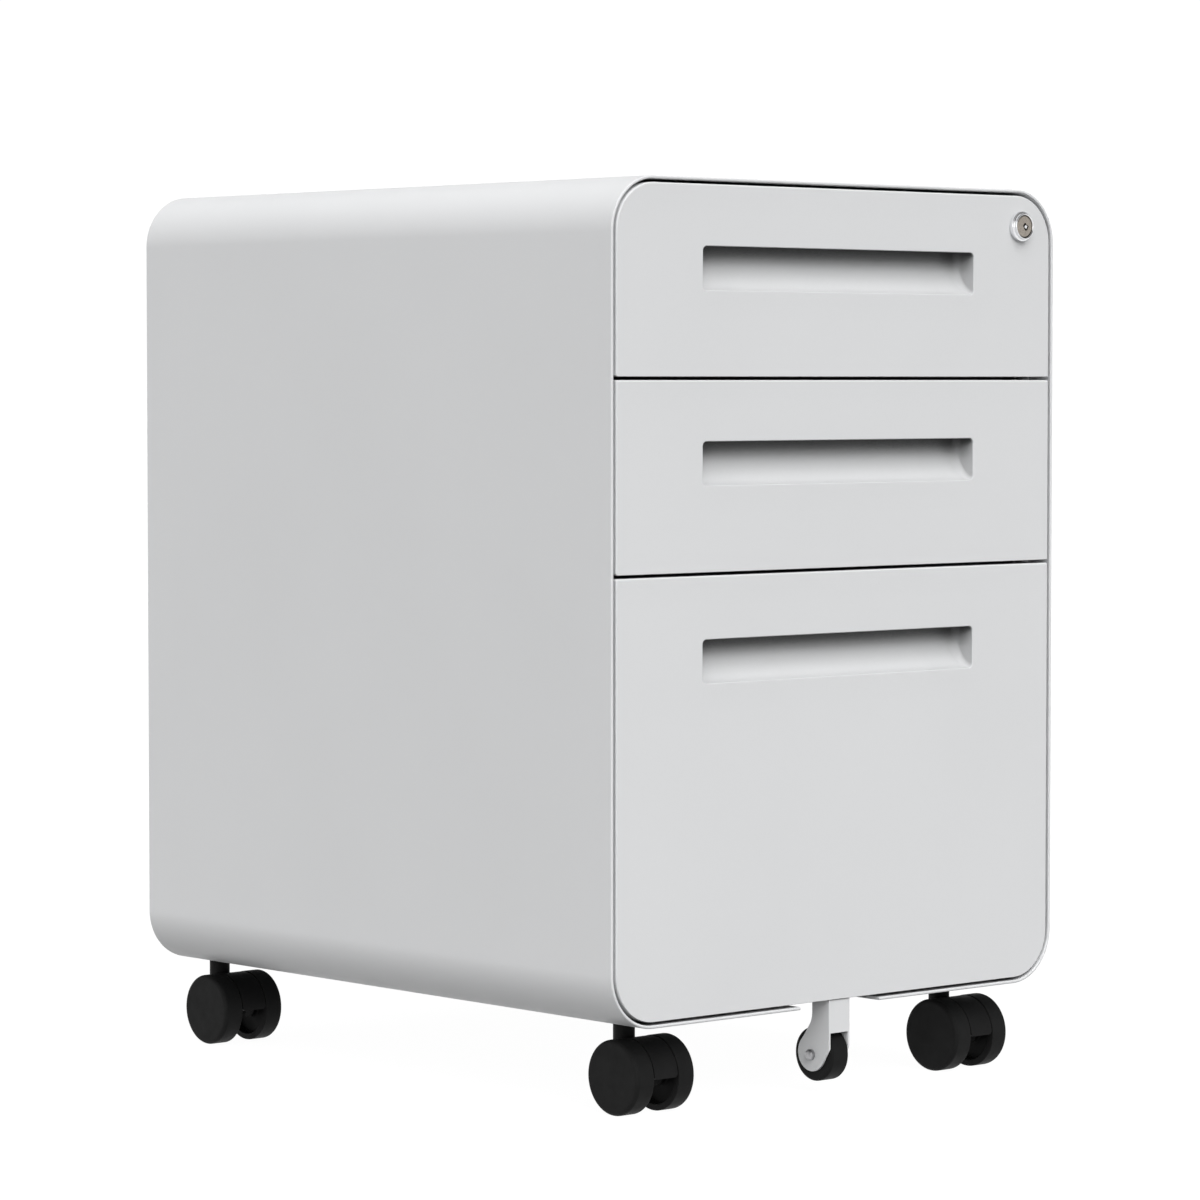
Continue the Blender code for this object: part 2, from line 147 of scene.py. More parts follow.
def strip(bm, a, b):
    n = len(a)
    for i in range(n):
        j = (i + 1) % n
        bm.faces.new((a[i], a[j], b[j], b[i]))


def fill(bm, rings, normal):
    """Fills the flat region between an outer ring and the rings of its holes."""
    edges = []
    for r in rings:
        for i in range(len(r)):
            e = bm.edges.get((r[i - 1], r[i]))
            edges.append(e or bm.edges.new((r[i - 1], r[i])))
    made = bmesh.ops.triangle_fill(bm, use_beauty=True, use_dissolve=False, edges=edges, normal=normal)
    return [g for g in made["geom"] if isinstance(g, bmesh.types.BMFace)]


def loft(loops, closed=False):
    bm = bmesh.new()
    rings = [ring(bm, loop) for loop in loops]
    pairs = list(zip(rings, rings[1:]))
    if closed:
        pairs.append((rings[-1], rings[0]))
    for a, b in pairs:
        strip(bm, a, b)
    if not closed:
        bm.faces.new(rings[0])
        bm.faces.new(rings[-1])
    return bm


def prism(outline, axis, low, high):
    lay = {"x": at_x, "y": at_y, "z": at_z}[axis]
    return loft([lay(outline, low), lay(outline, high)])


def block(x0, x1, y0, y1, z0, z1):
    return prism([(x0, y0), (x1, y0), (x1, y1), (x0, y1)], "z", z0, z1)


def turned(profile, centre, axis, n, closed=False):
    """A profile of (radius, distance along the axis) turned round a line through centre. A radius of 0 makes a pole."""
    bm = bmesh.new()
    rings = []
    for r, h in profile:
        count = 1 if r == 0 else n
        loop = []
        for k in range(count):
            t = 2 * math.pi * k / n
            u, v = r * math.cos(t), r * math.sin(t)
            point = {"x": (h, u, v), "y": (u, h, v), "z": (u, v, h)}[axis]
            loop.append(tuple(c + p for c, p in zip(centre, point)))
        rings.append(ring(bm, loop))
    pairs = list(zip(rings, rings[1:]))
    if closed:
        pairs.append((rings[-1], rings[0]))
    for a, b in pairs:
        if len(a) == 1 or len(b) == 1:
            pole, loop = (a[0], b) if len(a) == 1 else (b[0], a)
            for i in range(len(loop)):
                bm.faces.new((pole, loop[i], loop[(i + 1) % len(loop)]))
        else:
            strip(bm, a, b)
    if not closed:
        for end in (rings[0], rings[-1]):
            if len(end) > 1:
                bm.faces.new(end)
    return bm


def rod(centre, axis, r, low, high, n=48, edge=0.3):
    e = min(edge, (high - low) / 3, r / 3)
    profile = [(r - e, low), (r - e * 0.3, low + e * 0.3), (r, low + e), (r, high - e), (r - e * 0.3, high - e * 0.3), (r - e, high)]
    return turned(profile, centre, axis, n)


def merged(*parts):
    """Several closed bodies in one mesh."""
    whole = bmesh.new()
    for part in parts:
        mesh = bpy.data.meshes.new("part")
        orient(part)
        part.to_mesh(mesh)
        part.free()
        whole.from_mesh(mesh)
        bpy.data.meshes.remove(mesh)
    return whole


def orient(bm):
    bmesh.ops.recalc_face_normals(bm, faces=bm.faces)
    if bm.calc_volume(signed=True) < 0:
        bmesh.ops.reverse_faces(bm, faces=bm.faces)


def temporary(bm, name="temporary"):
    orient(bm)
    mesh = bpy.data.meshes.new(name)
    bm.to_mesh(mesh)
    bm.free()
    obj = bpy.data.objects.new(name, mesh)
    bpy.context.scene.collection.objects.link(obj)
    return obj


def baked(obj):
    """The object's mesh with its modifiers applied, as a bmesh; the object is removed."""
    bpy.context.view_layer.update()
    graph = bpy.context.evaluated_depsgraph_get()
    mesh = bpy.data.meshes.new_from_object(obj.evaluated_get(graph))
    bm = bmesh.new()
    bm.from_mesh(mesh)
    bpy.data.meshes.remove(mesh)
    bpy.data.objects.remove(obj, do_unlink=True)
    return bm


def shaped(bm, *steps):
    """Applies ("cut" or "join", bmesh) steps in turn."""
    obj = temporary(bm, "whole")
    tools = []
    for operation, tool in steps:
        other = temporary(tool, "tool")
        tools.append(other)
        mod = obj.modifiers.new("boolean", "BOOLEAN")
        mod.operation = {"cut": "DIFFERENCE", "join": "UNION"}[operation]
        mod.solver = "EXACT"
        mod.object = other
    made = baked(obj)
    for other in tools:
        bpy.data.objects.remove(other, do_unlink=True)
    return made


def bevelled(bm, width, segments=2, angle=35):
    obj = temporary(bm, "bevel")
    mod = obj.modifiers.new("bevel", "BEVEL")
    mod.width = width * MM
    mod.segments = segments
    mod.limit_method = "ANGLE"
    mod.angle_limit = math.radians(angle)
    mod.use_clamp_overlap = True
    mod.miter_outer = "MITER_ARC"
    return baked(obj)


def piece(name, bm, mat, body, nodes=(), sharp=40):
    orient(bm)
    mesh = bpy.data.meshes.new(name)
    bm.to_mesh(mesh)
    bm.free()
    mesh.materials.append(mat)
    mesh.shade_smooth()
    mesh.set_sharp_from_angle(angle=math.radians(sharp))
    obj = bpy.data.objects.new(name, mesh)
    bpy.context.scene.collection.objects.link(obj)
    mod = obj.modifiers.new("normals", "WEIGHTED_NORMAL")
    mod.mode = "FACE_AREA"
    mod.weight = 100
    mod.keep_sharp = True
    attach(obj, body)
    if nodes:
        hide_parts(*([nodes] if isinstance(nodes, str) else nodes))
    return obj


# ---------------------------------------------------------------- materials
class Tree:
    """Short ways to lay out a material's nodes."""

    def __init__(self, name, rgb, roughness, metallic=0.0, **sockets):
        self.mat = bpy.data.materials.new(name)
        self.mat.use_nodes = True
        self.nodes, self.links = self.mat.node_tree.nodes, self.mat.node_tree.links
        self.shader = self.nodes["Principled BSDF"]
        self.shader.inputs["Base Color"].default_value = (*rgb, 1)
        self.shader.inputs["Roughness"].default_value = roughness
        self.shader.inputs["Metallic"].default_value = metallic
        for socket, value in sockets.items():
            self.shader.inputs[socket.replace("_", " ")].default_value = value
        self.mat.diffuse_color = (*rgb, 1)
        self.place = self.nodes.new("ShaderNodeTexCoord").outputs["Object"]

    def link(self, a, b):
        self.links.new(a, b)

    def scaled(self, scale):
        node = self.nodes.new("ShaderNodeMapping")
        node.inputs["Scale"].default_value = scale
        self.link(self.place, node.inputs["Vector"])
        return node.outputs["Vector"]

    def noise(self, scale, detail=2.0, roughness=0.5, vector=None):
        node = self.nodes.new("ShaderNodeTexNoise")
        node.inputs["Scale"].default_value = scale
        node.inputs["Detail"].default_value = detail
        node.inputs["Roughness"].default_value = roughness
        self.link(vector or self.place, node.inputs["Vector"])
        return node.outputs["Fac"]

    def spread(self, value, low, high, start=0.3, end=0.7):
        node = self.nodes.new("ShaderNodeMapRange")
        node.inputs["From Min"].default_value = start
        node.inputs["From Max"].default_value = end
        node.inputs["To Min"].default_value = low
        node.inputs["To Max"].default_value = high
        self.link(value, node.inputs["Value"])
        return node.outputs["Result"]

    def colours(self, value, stops):
        node = self.nodes.new("ShaderNodeValToRGB")
        ramp = node.color_ramp
        while len(ramp.elements) > 1:
            ramp.elements.remove(ramp.elements[-1])
        ramp.elements[0].position, ramp.elements[0].color = stops[0][0], (*stops[0][1], 1)
        for at, rgb in stops[1:]:
            ramp.elements.new(at).color = (*rgb, 1)
        self.link(value, node.inputs["Fac"])
        return node.outputs["Color"]

    def bump(self, height, strength, distance, after=None):
        node = self.nodes.new("ShaderNodeBump")
        node.inputs["Strength"].default_value = strength
        node.inputs["Distance"].default_value = distance
        self.link(height, node.inputs["Height"])
        if after is not None:
            self.link(after, node.inputs["Normal"])
        return node.outputs["Normal"]

    def power(self, value, exponent):
        node = self.nodes.new("ShaderNodeMath")
        node.operation = "POWER"
        node.inputs[1].default_value = exponent
        self.link(value, node.inputs[0])
        return node.outputs["Value"]

    def multiplied(self, colour, factor):
        node = self.nodes.new("ShaderNodeVectorMath")
        node.operation = "SCALE"
        self.link(colour, node.inputs[0])
        self.link(factor, node.inputs["Scale"])
        return node.outputs["Vector"]

    def to(self, socket, output):
        self.link(output, self.shader.inputs[socket])


def tint(rgb, by):
    return tuple(c * by for c in rgb)


def paint(name, rgb, roughness, grain=1.0, painted_shade_depth=1.0):
    """Powder coat: orange peel about 1.5 mm across, a finer grain, and slow changes of tone and gloss; with a shade
    depth below 1, also painted shade in the hollows.
    """
    t = Tree(name, rgb, roughness, Specular_IOR_Level=0.4)
    colour = t.colours(t.noise(7.0, 3.0), [(0.3, tint(rgb, 0.988)), (0.5, rgb), (0.7, tint(rgb, 1.01))])
    if painted_shade_depth < 1.0:
        # painted shade: ambient occlusion darkens the base colour up behind the lips of the pulls and in the piece's
        # other hollows
        painted_shade_up_ao = t.nodes.new("ShaderNodeAmbientOcclusion")
        painted_shade_up_ao.only_local = True
        painted_shade_up_ao.samples = 8
        painted_shade_up_ao.inputs["Distance"].default_value = 0.018
        up = t.nodes.new("ShaderNodeCombineXYZ")
        up.inputs["Z"].default_value = 1.0
        t.link(up.outputs["Vector"], painted_shade_up_ao.inputs["Normal"])
        painted_shade_open_share = t.spread(painted_shade_up_ao.outputs["AO"], 0.0, 1.0, 0.03, 0.45)
        shade = t.spread(t.power(painted_shade_open_share, 0.43), painted_shade_depth, 1.0, 0.0, 1.0)
        painted_shade_hollow_ao = t.nodes.new("ShaderNodeAmbientOcclusion")
        painted_shade_hollow_ao.only_local = True
        painted_shade_hollow_ao.samples = 8
        painted_shade_hollow_ao.inputs["Distance"].default_value = 0.040
        colour = t.multiplied(t.multiplied(colour, shade), t.spread(painted_shade_hollow_ao.outputs["AO"], 0.58, 1.0, 0.2, 0.94))
    t.to("Base Color", colour)
    t.to("Roughness", t.spread(t.noise(55.0, 4.0), roughness - 0.035, roughness + 0.035))
    peel = t.bump(t.noise(650.0, 2.0), 0.10 * grain, 0.0001)
    t.to("Normal", t.bump(t.noise(2600.0, 1.0), 0.08 * grain, 0.00004, peel))
    return t.mat


PAINT_RGB = (0.735, 0.742, 0.750)
PAINT = paint("body_paint", PAINT_RGB, 0.42)
# the fronts get painted shade in their pulls
FRONT_PAINT = paint("front_paint", PAINT_RGB, 0.42, painted_shade_depth=0.15)
INNER = paint("inner_paint", (0.66, 0.667, 0.675), 0.55, grain=1.3)


def nylon(name, rgb, roughness):
    """Moulded black nylon: fine spark-eroded grain, faint flow marks and scuffs in the gloss."""
    t = Tree(name, rgb, roughness, Specular_IOR_Level=0.1)
    t.to("Base Color", t.colours(t.noise(60.0, 4.0, 0.6), [(0.25, tint(rgb, 0.8)), (0.5, rgb), (0.8, tint(rgb, 1.25))]))
    t.to("Roughness", t.spread(t.noise(140.0, 5.0, 0.65), roughness - 0.07, roughness + 0.08))
    flow = t.bump(t.noise(300.0, 2.0), 0.10, 0.0001)
    t.to("Normal", t.bump(t.noise(4200.0, 2.0), 0.22, 0.00005, flow))
    return t.mat


NYLON = nylon("caster_nylon", (0.0085, 0.0085, 0.0086), 0.50)
TREAD = nylon("wheel_black", (0.0095, 0.0096, 0.0096), 0.55)


def plated(name, rgb, roughness, along, scale=900.0, streak=0.35, shade=0.12):
    """Bright zinc on drawn steel: fine draw lines along the part and a slow, cloudy passivate."""
    t = Tree(name, rgb, roughness, 1.0)
    squeeze = {"x": (0.02, 1, 1), "y": (1, 0.02, 1), "z": (1, 1, 0.02)}[along]
    lines = t.noise(scale, 3.0, 0.6, t.scaled(squeeze))
    cloud = t.noise(45.0, 4.0, 0.6)
    t.to("Base Color", t.colours(cloud, [(0.25, tint(rgb, 1 - shade)), (0.5, rgb), (0.75, (rgb[0] * 1.03, rgb[1] * 1.02, rgb[2] * 0.97))]))
    t.to("Roughness", t.spread(lines, roughness - 0.08, roughness + 0.1))
    t.to("Normal", t.bump(lines, streak, 0.00003))
    return t.mat


ZINC = plated("zinc_drawn", (0.66, 0.67, 0.68), 0.34, "y")
ZINC_UP = plated("zinc_upright", (0.66, 0.67, 0.68), 0.34, "z")


def bright(name, rgb, roughness, scale, spots):
    """Polished or satin plate: hairline scratches and a little haze."""
    t = Tree(name, rgb, roughness, 1.0)
    t.to("Base Color", t.colours(t.noise(scale, 4.0, 0.6), [(0.3, tint(rgb, 1 - spots)), (0.6, rgb), (0.8, tint(rgb, 1.03))]))
    t.to("Roughness", t.spread(t.noise(scale * 4, 5.0, 0.7), roughness * 0.7, roughness * 1.5))
    t.to("Normal", t.bump(t.noise(scale * 6, 3.0), 0.05, 0.00003))
    return t.mat


CHROME = bright("lock_chrome", (0.88, 0.885, 0.90), 0.07, 250.0, 0.05)
NICKEL = bright("lock_nickel", (0.40, 0.36, 0.315), 0.26, 700.0, 0.25)
RIVET = bright("rivet_steel", (0.40, 0.40, 0.41), 0.30, 500.0, 0.15)


# ---------------------------------------------------------------- shell
def shell_outline(inset, n=28):
    r = CORNER - inset
    return rounded(-HALF + inset, HALF - inset, BASE + inset, TOP - inset, (r, r, r, r), n)


section = soften(
    [(0, FRONT), (0, BACK), (SHEET, BACK), (SHEET, FRONT + RIM_DEPTH), (RIM, FRONT + RIM_DEPTH), (RIM, FRONT)],
    [0.8, 0.45, 0.4, 0, 0.35, 0.8], 5,
)
shell = loft([at_y(shell_outline(inset), y) for inset, y in section], closed=True)
NOTCH_HALF, NOTCH_DEPTH = 35.0, 60.0
steps = [("cut", prism(soften([(-NOTCH_HALF, FRONT - 20), (NOTCH_HALF, FRONT - 20), (NOTCH_HALF, FRONT + NOTCH_DEPTH), (-NOTCH_HALF, FRONT + NOTCH_DEPTH)], [0, 0, 4, 4], 6), "z", BASE - 5, BASE + 6))]
CASTERS = {}
for tag in ("fl", "fr", "rl", "rr"):
    low, high = box(f"caster_{tag}_stem")
    CASTERS[tag] = ((low.x + high.x) / 2, (low.y + high.y) / 2)
    steps.append(("cut", turned([(4.3, BASE - 6), (4.3, BASE + 6)], (*CASTERS[tag], 0), "z", 32)))
shell = shaped(shell, *steps)
piece("shell", bevelled(shell, 0.25, 2, 60), PAINT, "cabinet", "outer_shell")

# back panel: a tray let into the back of the shell, its edge folded inwards
def tray_loops():
    out = []
    for inset, y in [(PANEL_GAP + 0.8, BACK - 4.6), (PANEL_GAP + 0.8, BACK - 16.0), (PANEL_GAP, BACK - 16.0)]:
        out.append(at_y(shell_outline(inset), y))
    for k in range(6):  # the fold's outer radius
        t = math.radians(90 * k / 5)
        out.append(at_y(shell_outline(PANEL_GAP + 1.4 * (1 - math.cos(t))), BACK - 3.0 - 1.4 * (1 - math.sin(t))))
    return out


tray_steps = []
for side in (-1, 1):
    x = side * abs(CASTERS["rr"][0])
    tray_steps.append(("cut", block(x - 10, x + 10, BACK - 22, BACK - 4.6, BASE - 4, BASE + 10)))
back = loft([at_y(shell_outline(PANEL_GAP + 1.6), BACK - 4.0)] + tray_loops())
piece("back_panel_tray", shaped(back, *tray_steps), PAINT, "cabinet", "back_panel")

# panels that carry the slides, and the channels that carry the casters
for word, side in (("left", -1), ("right", 1)):
    low, high = box(f"{word}_slide_panel")
    face = min(abs(low.x), abs(high.x))
    flange = max(abs(low.x), abs(high.x))
    y0, y1 = low.y, high.y
    outline = [
        (face, y0), (flange, y0), (flange, y0 + 1), (face + 1, y0 + 1),
        (face + 1, y1 - 1), (flange, y1 - 1), (flange, y1), (face, y1),
    ]
    outline = soften(outline, [1.6, 0.3, 0.3, 0.7, 0.7, 0.3, 0.3, 1.6], 4)
    piece(f"{word}_panel", bevelled(prism([(side * x, y) for x, y in outline], "z", low.z, high.z), 0.2, 2, 50), INNER, "cabinet", f"{word}_slide_panel")

for word in ("front", "rear"):
    low, high = box(f"{word}_caster_channel")
    y0, y1, z0, z1 = low.y, high.y, low.z, high.z
    if word == "front":
        outline = [(y0, z0), (y0 + 1.5, z0), (y0 + 1.5, z1 - 1.5), (y1 - 1.5, z1 - 1.5), (y1 - 1.5, z0), (y1, z0), (y1, z1), (y0, z1)]
        outline = soften(outline, [0.3, 0.3, 0.8, 0.8, 0.3, 0.3, 2.2, 2.2], 4)
    else:
        outline = [(y0, z0), (y0 + 1.5, z0), (y0 + 1.5, z1 - 1.5), (y1, z1 - 1.5), (y1, z1), (y0, z1)]
        outline = soften(outline, [0.3, 0.3, 0.8, 0.3, 0.3, 2.2], 4)
    channel = prism(outline, "x", low.x, high.x)
    holes = []
    for tag in ("fl", "fr") if word == "front" else ("rl", "rr"):
        holes.append(("cut", turned([(4.3, BASE + 8), (4.3, BASE + 22)], (*CASTERS[tag], 0), "z", 32)))
    piece(f"{word}_channel", bevelled(shaped(channel, *holes), 0.2, 2, 50), INNER, "cabinet", f"{word}_caster_channel")


# ---------------------------------------------------------------- slides
def rail(node, web_x, tip_x, thick):
    """A drawn C-shaped rail; its web stands at web_x and its lips reach to tip_x."""
    low, high = box(node)
    side = -1 if low.x < 0 else 1
    zc, half = (low.z + high.z) / 2, (high.z - low.z) / 2
    t = math.copysign(thick, tip_x - web_x)
    outline = [
        (web_x, zc - half), (tip_x, zc - half), (tip_x, zc - half + thick), (web_x + t, zc - half + thick),
        (web_x + t, zc + half - thick), (tip_x, zc + half - thick), (tip_x, zc + half), (web_x, zc + half),
    ]
    outline = soften(outline, [2.2, 0.5, 0.5, 1.1, 1.1, 0.5, 0.5, 2.2], 4)
    parts = [bevelled(prism([(side * x, z) for x, z in outline], "y", low.y, high.y), 0.15, 1, 50)]
    return parts, side, low, high, zc


def rivet_head(x, y, z, side, r=3.2, height=1.1):
    """A low domed head that stands off a face towards side, along x."""
    profile = [(r, 0.0), (r, 0.25)]
    for k in range(1, 6):
        t = math.radians(90 * k / 6)
        profile.append((r * math.cos(t), 0.25 + (height - 0.25) * math.sin(t)))
    profile.append((0, height))
    return turned([(p, side * h) for p, h in profile], (x, y, z), "x", 24)


for drawer in ("top", "middle", "bottom"):
    for word in ("left", "right"):
        node = f"{drawer}_{word}_outer_slide"
        parts, side, low, high, zc = rail(node, 185.7, 175.2, 1.2)
        for y in (low.y + 37, (low.y + high.y) / 2, high.y - 37):  # screws that hold the rail to its panel
            parts.append(rivet_head(side * 184.45, y, zc, -side, height=0.65 if drawer == "bottom" else 1.1))
        piece(f"{drawer}_{word}_rail_outer", merged(*parts), ZINC, "cabinet", node)
        node = f"{drawer}_{word}_inner_slide"
        parts, side, low, high, zc = rail(node, 172.8, 181.6, 1.2)
        for y in (low.y + 25, (low.y + high.y) / 2, high.y - 25):
            parts.append(rivet_head(side * 174.05, y, zc, side))
        piece(f"{drawer}_{word}_rail_inner", merged(*parts), ZINC, f"{drawer}_drawer", node)
for word in ("left", "right"):
    node = f"bottom_{word}_middle_slide"
    parts, side, low, high, zc = rail(node, 183.6, 174.6, 1.2)
    piece(f"bottom_{word}_rail_middle", merged(*parts), ZINC, "bottom_middle_slides", node)

# ---------------------------------------------------------------- drawers
PULL_HALF, PULL_HEIGHT, PULL_DEPTH, PULL_BACK = 119.5, 27.0, 14.0, 7.0
EDGE = 1.15  # radius of the fronts' edges
EDGE_LOW = 0.35  # their lower edges are tighter
MOUTH = 0.6  # radius of the pulls' mouths
LIP = 1.9  # thickness of the lip that the fingers hook behind
UNDERCUT = 5.0
LOCK_X = 162.5
LOCK_Z = (box("lock_core")[0].z + box("lock_core")[1].z) / 2
BIG = CORNER - RIM - 2.0
PULL_TOP = {"top": TOP - 42.0, "middle": TOP - 162.0, "bottom": TOP - 284.0}


def pull_section(n=30):
    """Rows from the mouth inwards: (inset, rise of the lower edge, share of the draft, depth, height behind the lip)."""
    r = 4.2
    depths = [PULL_DEPTH * math.sin(math.radians(90 * k / n)) for k in range(n + 1)]
    rows = [(d, 0.0) for d in depths if MOUTH * 1.05 < d < LIP - 0.45]
    rows += [(LIP - 0.4, 0.0), (LIP - 0.12, 0.12), (LIP, 0.4), (LIP, UNDERCUT - 1.6)]
    rows += [(LIP + 1.6 * (1 - math.cos(math.radians(a))), UNDERCUT - 1.6 * (1 - math.sin(math.radians(a)))) for a in (30, 60, 90)]
    rows += [(d, UNDERCUT) for d in depths if d > LIP + 1.75]
    out = []
    for d, up in rows:
        rise = (PULL_HEIGHT - PULL_BACK) * (1 - math.sqrt(max(0.0, 1 - (d / PULL_DEPTH) ** 2)))
        over = max(0.0, d - (PULL_DEPTH - r))
        inset = r - math.sqrt(max(0.0, r * r - over * over))
        out.append((inset, rise, (d / PULL_DEPTH) ** 2, d, up))
    return out


def pull_rings(top, grow, start):
    """Outlines of the pull; grow moves every wall outwards and start is the depth of its mouth."""
    loops = []
    for inset, rise, share, d, up in pull_section():
        half = PULL_HALF - 2.5 * share + grow - inset
        low, high = top - PULL_HEIGHT + rise - grow, top + grow - inset + (UNDERCUT if grow else up)
        r = max(0.6, min(3.0 + grow, (high - low) / 2 - 0.3))
        sweep = max(r, min(r + 6.5 * share, (high - low) / 2 - 0.3))
        loops.append(at_y(rounded(-half, half, low, high, (sweep, sweep, r, r), 10), start + d))
    return loops


def drawer_front(drawer):
    low, high = box(f"{drawer}_drawer_front")
    half, z0, z1, y_end = high.x, low.z, high.z, high.y
    small = 1.4
    radii = (BIG if drawer == "bottom" else small,) * 2 + (BIG if drawer == "top" else small,) * 2

    def face(inset, low_inset=None):
        low_inset = inset if low_inset is None else low_inset
        return rounded(-half + inset, half - inset, z0 + low_inset, z1 - inset, tuple(max(r - inset, 0.12) for r in radii), 20)

    profile = [(EDGE, F)]
    for k in range(1, 6):
        t = math.radians(90 * k / 5)
        profile.append((EDGE * (1 - math.sin(t)), F + EDGE * (1 - math.cos(t))))
    profile += [(0, y_end - 0.3), (0.3, y_end), (SHEET - 0.3, y_end), (SHEET, y_end - 0.3), (SHEET, F + SHEET + 0.35), (SHEET + 0.1, F + SHEET + 0.1), (SHEET + 0.35, F + SHEET)]
    bm = bmesh.new()
    rings = [ring(bm, at_y(face(inset, inset * EDGE_LOW / EDGE if k < 6 else None), y)) for k, (inset, y) in enumerate(profile)]
    for a, b in zip(rings, rings[1:]):
        strip(bm, a, b)
    top = PULL_TOP[drawer]
    # the skin of the pull
    loops = []
    for k in range(6):
        t = math.radians(90 * k / 5)
        g = MOUTH * (1 - math.sin(t))
        r = 3.0 + g
        loops.append(at_y(rounded(-PULL_HALF - g, PULL_HALF + g, top - PULL_HEIGHT - g, top + g, (r,) * 4, 10), F + MOUTH * (1 - math.cos(t))))
    skin = [ring(bm, loop) for loop in loops + pull_rings(top, 0.0, F)]
    for a, b in zip(skin, skin[1:]):
        strip(bm, a, b)
    bm.faces.new(skin[-1])
    # its back
    g = SHEET
    r = 3.0 + g
    first = at_y(rounded(-PULL_HALF - g, PULL_HALF + g, top - PULL_HEIGHT - g, top + UNDERCUT + g, (r,) * 4, 10), F + SHEET)
    hidden = [ring(bm, loop) for loop in [first] + pull_rings(top, SHEET, F + SHEET)]
    for a, b in zip(hidden, hidden[1:]):
        strip(bm, a, b)
    bm.faces.new(hidden[-1])
    outer_holes, inner_holes = [skin[0]], [hidden[0]]
    if drawer == "top":
        bore = []
        for y in (F, F + SHEET):
            bore.append(ring(bm, [(LOCK_X + 9.3 * math.cos(2 * math.pi * k / 64), y, LOCK_Z + 9.3 * math.sin(2 * math.pi * k / 64)) for k in range(64)]))
        strip(bm, *bore)
        outer_holes.append(bore[0])
        inner_holes.append(bore[1])
    fill(bm, [rings[0]] + outer_holes, (0, -1, 0))
    fill(bm, [rings[-1]] + inner_holes, (0, 1, 0))
    bm.normal_update()
    bmesh.ops.dissolve_limit(bm, angle_limit=0.0005, verts=bm.verts, edges=[e for e in bm.edges if len(e.link_faces) == 2 and abs(abs(e.link_faces[0].normal.y) - 1) < 1e-6 and abs(abs(e.link_faces[1].normal.y) - 1) < 1e-6], use_dissolve_boundaries=False)
    return bm, face


for drawer in ("top", "middle", "bottom"):
    body = f"{drawer}_drawer"
    bm, face = drawer_front(drawer)
    piece(f"{drawer}_front", bm, FRONT_PAINT, body, f"{drawer}_drawer_front")

    low, high = box(f"{drawer}_drawer_liner")
    liner = loft([at_y(face(SHEET + GAP + 0.2), low.y), at_y(face(SHEET + GAP), low.y + 0.2), at_y(face(SHEET + GAP), high.y - 0.2), at_y(face(SHEET + GAP + 0.2), high.y)])
    if drawer == "top":
        liner = shaped(liner, ("cut", turned([(9.3, F + 10), (9.3, F + 30)], (LOCK_X, 0, LOCK_Z), "y", 64)))
    piece(f"{drawer}_liner", liner, INNER, body, f"{drawer}_drawer_liner")

    # folded box: round floor edge, rolled top edge, and the tab that the locking bar catches
    low, high = box(f"{drawer}_drawer_box")
    half, ya, yb, z0, z1 = -low.x, low.y, high.y, low.z, high.z

    def plan(inset, r=3.0):
        rr = max(r - inset, 0.5)
        return rounded(-half + inset, half - inset, ya + inset, yb - inset, (rr,) * 4, 8)

    side_profile = []
    for k in range(5):
        t = math.radians(90 * k / 4)
        side_profile.append((1.5 * (1 - math.sin(t)), z0 + 1.5 * (1 - math.cos(t))))
    for k in range(9):
        t = math.radians(180 - 180 * k / 8)
        side_profile.append((1.1 + 1.1 * math.cos(t), z1 - 1.1 + 1.1 * math.sin(t)))
    side_profile += [(2.2, z1 - 7.6), (1.9, z1 - 8), (1.0, z1 - 8), (1.0, z0 + 1.9), (1.3, z0 + 1.2), (2.0, z0 + 1.0)]
    bm = loft([at_z(plan(inset), z) for inset, z in side_profile])
    catch = {"top": TOP - 58, "middle": TOP - 168, "bottom": TOP - 290}[drawer]
    tab = bevelled(prism(soften([(half - 0.6, catch), (180.0, catch), (180.0, catch + 8), (half - 0.6, catch + 8)], [0, 1.5, 1.5, 0], 4), "y", F + 30, F + 31.5), 0.15, 1, 50)
    bm = shaped(bm, ("join", tab))
    piece(f"{drawer}_box", bm, INNER, body, f"{drawer}_drawer_box")

for word in ("left", "right"):
    low, high = box(f"file_rail_{word}")
    ya, yb, z0, z1 = low.y, high.y, low.z, high.z
    outline = [
        (ya + 2.4, z0), (yb - 2.4, z0), (yb - 2.4, z1 - 1.9), (yb, z1 - 1.9), (yb, z1),
        (ya, z1), (ya, z1 - 1.9), (ya + 2.4, z1 - 1.9),
    ]
    outline = soften(outline, [2.0, 2.0, 0.3, 0.3, 0.6, 0.6, 0.3, 0.3], 4)
    piece(f"hanging_rail_{word}", bevelled(prism(outline, "x", low.x, high.x), 0.3, 2, 50), ZINC, "bottom_drawer", f"file_rail_{word}")

# ---------------------------------------------------------------- lock
lock_at = (LOCK_X, 0, LOCK_Z)


def lock_profile():
    """Flange, step and rounded ring of the housing, then its barrel; (radius, y)."""
    points = [(7.2, F + 24.0), (7.2, F - 4.5), (7.6, F - 5.1), (7.9, F - 5.2), (8.25, F - 5.05), (8.45, F - 4.6), (8.55, F - 3.8), (8.7, F - 3.35), (9.0, F - 3.15)]
    for k in range(0, 6):
        t = math.radians(90 * k / 5)
        points.append((9.2 + 0.5 * math.sin(t), F - 2.6 - 0.5 * math.cos(t)))
    points += [(9.7, F - 0.45), (9.6, F - 0.3), (9.0, F - 0.3), (9.0, F + 23.6), (8.7, F + 24.0)]
    return points


piece("lock_ring", turned(lock_profile(), lock_at, "y", 96, closed=True), CHROME, "top_drawer", "lock_housing")

core = turned([(0, F - 4.6), (6.3, F - 4.6), (6.75, F - 4.45), (7.0, F - 4.1), (7.0, F + 24.8), (6.8, F + 25.0), (0, F + 25.0)], lock_at, "y", 96)
